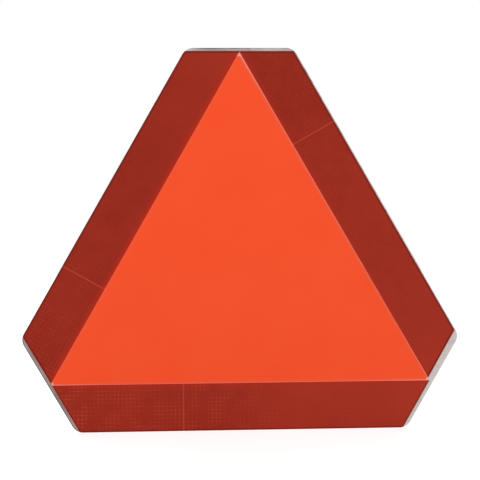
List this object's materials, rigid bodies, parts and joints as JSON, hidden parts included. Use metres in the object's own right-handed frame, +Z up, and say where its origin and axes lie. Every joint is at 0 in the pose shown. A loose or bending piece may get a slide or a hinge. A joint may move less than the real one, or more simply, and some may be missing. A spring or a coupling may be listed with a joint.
{
  "type": "slow moving vehicle sign",
  "caption": "Flat triangular emblem with cut corners: a fluorescent triangle inside a dark red reflective border, on a bare aluminium plate.",
  "frame": {"origin": "on the plate's back face, level with the centroid of the fluorescent triangle", "axes": "+Z up with one tip of the triangle at the top, +Y out of the back face into the vehicle, +X to the right as seen from the front; the film side faces -Y"},
  "size_m": [0.4066, 0.0014, 0.3559],
  "materials": {
    "aluminium_sheet": "mill finish, blanked edges",
    "fluorescent_film": "satin fluorescent red-orange film",
    "reflective_film": "dark red prismatic reflective film with a fine square seal pattern"
  },
  "bodies": {
    "root": {"backing_plate": "aluminium_sheet", "fluorescent_triangle": "fluorescent_film", "left_reflective_strip": "reflective_film", "right_reflective_strip": "reflective_film", "bottom_reflective_strip": "reflective_film"}
  },
  "joints": []
}
